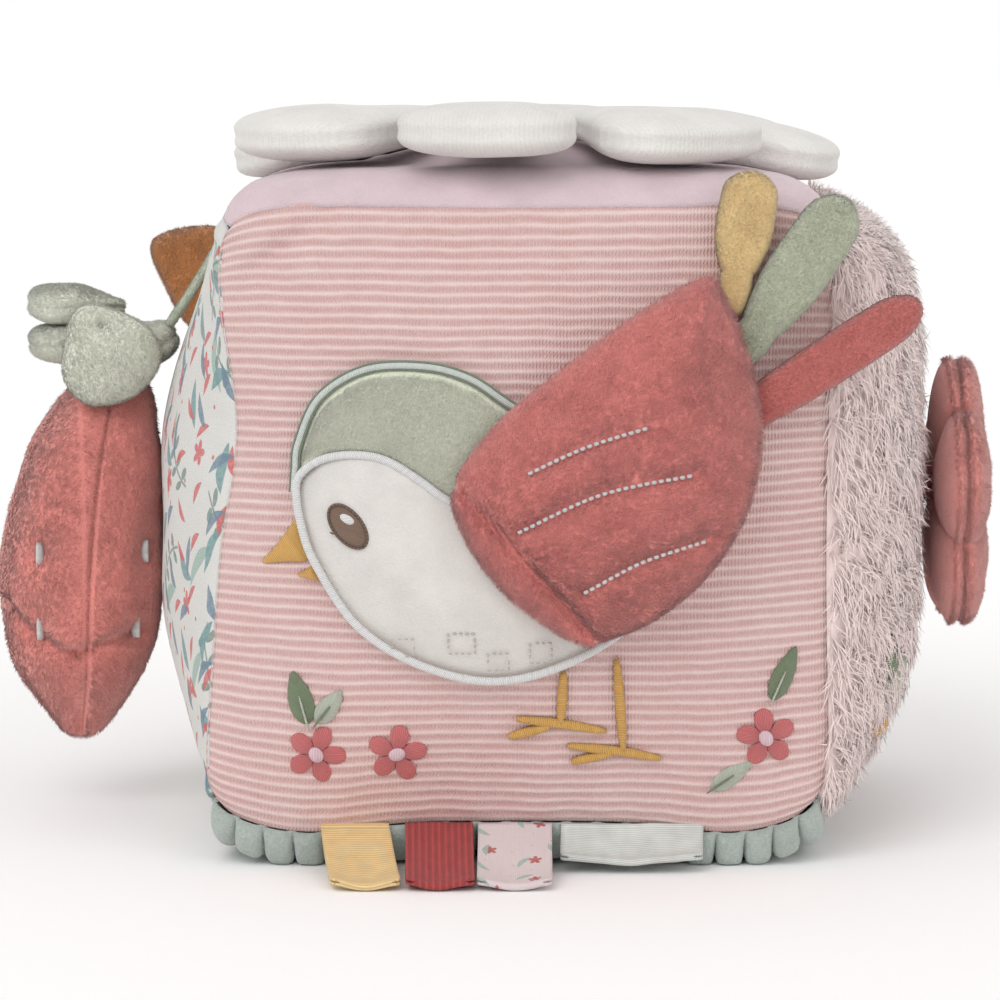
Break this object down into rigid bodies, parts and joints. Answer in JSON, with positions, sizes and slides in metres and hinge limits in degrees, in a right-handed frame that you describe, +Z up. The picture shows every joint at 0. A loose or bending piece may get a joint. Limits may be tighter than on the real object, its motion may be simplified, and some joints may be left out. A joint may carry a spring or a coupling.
{
  "type": "soft fabric block",
  "caption": "Stuffed fabric activity cube: padded petal flower on top, bird with a lifting wing and tail tabs, ribbon tags, and a strawberry and rose flower at the sides.",
  "frame": {"origin": "centre of the padded underside's resting face", "axes": "+Z up, -Y towards the bird's side, +X towards the fur side with the rose flower"},
  "size_m": [0.2557, 0.1935, 0.1877],
  "materials": {
    "rose_knit": "fine ribbed knit",
    "lilac_velour": "velour",
    "white_cotton": "printed cotton",
    "pink_fur": "long pile fur fabric",
    "rose_cotton": "plain cotton",
    "sage_rib": "padded ribs",
    "sage_plush": "short plush",
    "cream_plush": "short plush",
    "rose_plush": "short plush",
    "yellow_plush": "short plush",
    "petal_velour": "fine ribbed velour",
    "caramel_plush": "short plush",
    "fibre_fill": "polyester fibre filling",
    "case_plastic": "plain moulded",
    "ball_steel": "polished ball",
    "ochre_thread": "satin stitch",
    "brown_thread": "satin stitch",
    "rose_thread": "satin stitch",
    "green_thread": "satin stitch",
    "yellow_satin": "satin ribbon",
    "red_ribbon": "ribbed ribbon",
    "pink_ribbon": "printed ribbon",
    "white_ribbon": "plain woven label"
  },
  "bodies": {
    "block": {"front_panel": "rose_knit", "back_panel": "rose_cotton", "left_panel": "white_cotton", "right_panel": "pink_fur", "top_panel": "lilac_velour", "bottom_panel": "sage_rib", "stuffing_core": "fibre_fill", "stuffing_plug": "fibre_fill", "rattle_cup_front": "case_plastic", "rattle_cup_back": "case_plastic", "bird_breast": "cream_plush", "bird_hood": "sage_plush", "bird_eye": "brown_thread", "bird_beak": "ochre_thread", "bird_leg_front": "ochre_thread", "bird_leg_rear": "ochre_thread", "sewn_flower_1": "rose_thread", "sewn_flower_2": "rose_thread", "sewn_flower_3": "rose_thread", "sewn_leaf_1": "green_thread", "sewn_leaf_2": "green_thread", "sewn_leaf_3": "green_thread", "sewn_leaf_4": "green_thread", "wing_rim": "rose_plush", "tail_root_yellow": "yellow_plush", "tail_root_sage": "sage_plush", "tail_root_rose": "rose_plush", "flower_button": "yellow_plush", "rose_shank": "rose_thread"},
    "rattle_ball": {"rattle_ball": "ball_steel"},
    "wing": {"wing_front_cover": "rose_plush", "wing_back_cover": "rose_plush", "wing_padding": "fibre_fill"},
    "tail_tab_yellow": {"tail_tab_yellow": "yellow_plush"},
    "tail_tab_sage": {"tail_tab_sage": "sage_plush"},
    "tail_tab_rose": {"tail_tab_rose": "rose_plush"},
    "tag_yellow": {"tag_yellow": "yellow_satin"},
    "tag_red": {"tag_red": "red_ribbon"},
    "tag_printed": {"tag_printed": "pink_ribbon"},
    "tag_white": {"tag_white": "white_ribbon"},
    "petal_1": {"petal_1": "petal_velour"},
    "petal_2": {"petal_2": "petal_velour"},
    "petal_3": {"petal_3": "petal_velour"},
    "petal_4": {"petal_4": "petal_velour"},
    "petal_5": {"petal_5": "petal_velour"},
    "petal_6": {"petal_6": "petal_velour"},
    "petal_7": {"petal_7": "petal_velour"},
    "petal_8": {"petal_8": "petal_velour"},
    "tape": {"strawberry_tape": "sage_plush"},
    "strawberry": {"strawberry_body": "rose_plush", "strawberry_leaf_front": "sage_plush", "strawberry_leaf_back": "sage_plush", "strawberry_leaf_left": "sage_plush", "strawberry_leaf_right": "sage_plush"},
    "rose_flower": {"rose_flower": "rose_plush"},
    "caramel_flap": {"caramel_flap": "caramel_plush"}
  },
  "joints": [
    {"name": "ball_rise", "type": "slide", "parent": "block", "child": "rattle_ball", "axis": [0, 0, 1], "range_m": [0, 0.023]},
    {"name": "wing_lift", "type": "hinge", "parent": "block", "child": "wing", "pos_m": [-0.0004, -0.0985, 0.0783], "axis": [0.6691, 0, -0.7431], "range_deg": [0, 90], "stiffness_Nm_per_rad": 0.01},
    {"name": "tail_lift_yellow", "type": "hinge", "parent": "block", "child": "tail_tab_yellow", "pos_m": [0.0498, -0.083, 0.1466], "axis": [0.9877, 0, -0.1564], "range_deg": [0, 80], "stiffness_Nm_per_rad": 0.001},
    {"name": "tail_lift_sage", "type": "hinge", "parent": "block", "child": "tail_tab_sage", "pos_m": [0.0552, -0.085, 0.1338], "axis": [0.829, 0, -0.5592], "range_deg": [0, 80], "stiffness_Nm_per_rad": 0.001},
    {"name": "tail_lift_rose", "type": "hinge", "parent": "block", "child": "tail_tab_rose", "pos_m": [0.0575, -0.086, 0.1165], "axis": [0.5446, 0, -0.8387], "range_deg": [0, 80], "stiffness_Nm_per_rad": 0.001},
    {"name": "tag_lift_yellow", "type": "hinge", "parent": "block", "child": "tag_yellow", "pos_m": [-0.0424, -0.0739, 0.0119], "axis": [-1, 0, 0], "range_deg": [0, 50], "stiffness_Nm_per_rad": 0.0005},
    {"name": "tag_lift_red", "type": "hinge", "parent": "block", "child": "tag_red", "pos_m": [-0.0217, -0.0736, 0.0119], "axis": [-1, 0, 0], "range_deg": [0, 50], "stiffness_Nm_per_rad": 0.0005},
    {"name": "tag_lift_printed", "type": "hinge", "parent": "block", "child": "tag_printed", "pos_m": [-0.0031, -0.0735, 0.0119], "axis": [-1, 0, 0], "range_deg": [0, 50], "stiffness_Nm_per_rad": 0.0005},
    {"name": "tag_lift_white", "type": "hinge", "parent": "block", "child": "tag_white", "pos_m": [0.0256, -0.0738, 0.0119], "axis": [-1, 0, 0], "range_deg": [0, 60], "stiffness_Nm_per_rad": 0.0005},
    {"name": "petal_lift_1", "type": "hinge", "parent": "block", "child": "petal_1", "pos_m": [-0.00185, -0.01509, 0.1808], "axis": [-0.9925, 0.1219, 0], "range_deg": [-5, 25], "stiffness_Nm_per_rad": 0.03},
    {"name": "petal_lift_2", "type": "hinge", "parent": "block", "child": "petal_2", "pos_m": [0.00936, -0.01198, 0.1808], "axis": [-0.788, -0.6157, 0], "range_deg": [-3, 25], "stiffness_Nm_per_rad": 0.03},
    {"name": "petal_lift_3", "type": "hinge", "parent": "block", "child": "petal_3", "pos_m": [0.01509, -0.00185, 0.1808], "axis": [-0.1219, -0.9925, 0], "range_deg": [0, 25], "stiffness_Nm_per_rad": 0.03},
    {"name": "petal_lift_4", "type": "hinge", "parent": "block", "child": "petal_4", "pos_m": [0.01198, 0.00936, 0.1808], "axis": [0.6157, -0.788, 0], "range_deg": [-4, 25], "stiffness_Nm_per_rad": 0.03},
    {"name": "petal_lift_5", "type": "hinge", "parent": "block", "child": "petal_5", "pos_m": [0.00185, 0.01509, 0.1808], "axis": [0.9925, -0.1219, 0], "range_deg": [-2, 25], "stiffness_Nm_per_rad": 0.03},
    {"name": "petal_lift_6", "type": "hinge", "parent": "block", "child": "petal_6", "pos_m": [-0.00936, 0.01198, 0.1808], "axis": [0.788, 0.6157, 0], "range_deg": [-3, 25], "stiffness_Nm_per_rad": 0.03},
    {"name": "petal_lift_7", "type": "hinge", "parent": "block", "child": "petal_7", "pos_m": [-0.01509, 0.00185, 0.1808], "axis": [0.1219, 0.9925, 0], "range_deg": [0, 25], "stiffness_Nm_per_rad": 0.03},
    {"name": "petal_lift_8", "type": "hinge", "parent": "block", "child": "petal_8", "pos_m": [-0.01198, -0.00936, 0.1808], "axis": [-0.6157, 0.788, 0], "range_deg": [-5, 25], "stiffness_Nm_per_rad": 0.03},
    {"name": "tape_swing", "type": "hinge", "parent": "block", "child": "tape", "pos_m": [-0.0752, 0, 0.1567], "axis": [0, 1, 0], "range_deg": [0, 75]},
    {"name": "strawberry_swing", "type": "hinge", "parent": "tape", "child": "strawberry", "pos_m": [-0.0898, 0, 0.1318], "axis": [1, 0, 0], "range_deg": [-30, 30]},
    {"name": "rose_tilt", "type": "hinge", "parent": "block", "child": "rose_flower", "pos_m": [0.1038, 0, 0.086], "axis": [0, 1, 0], "range_deg": [-8, 8], "stiffness_Nm_per_rad": 0.02},
    {"name": "flap_fold", "type": "hinge", "parent": "block", "child": "caramel_flap", "pos_m": [-0.0742, 0.0742, 0.13], "axis": [0, 0, 1], "range_deg": [-60, 45], "stiffness_Nm_per_rad": 0.003}
  ]
}
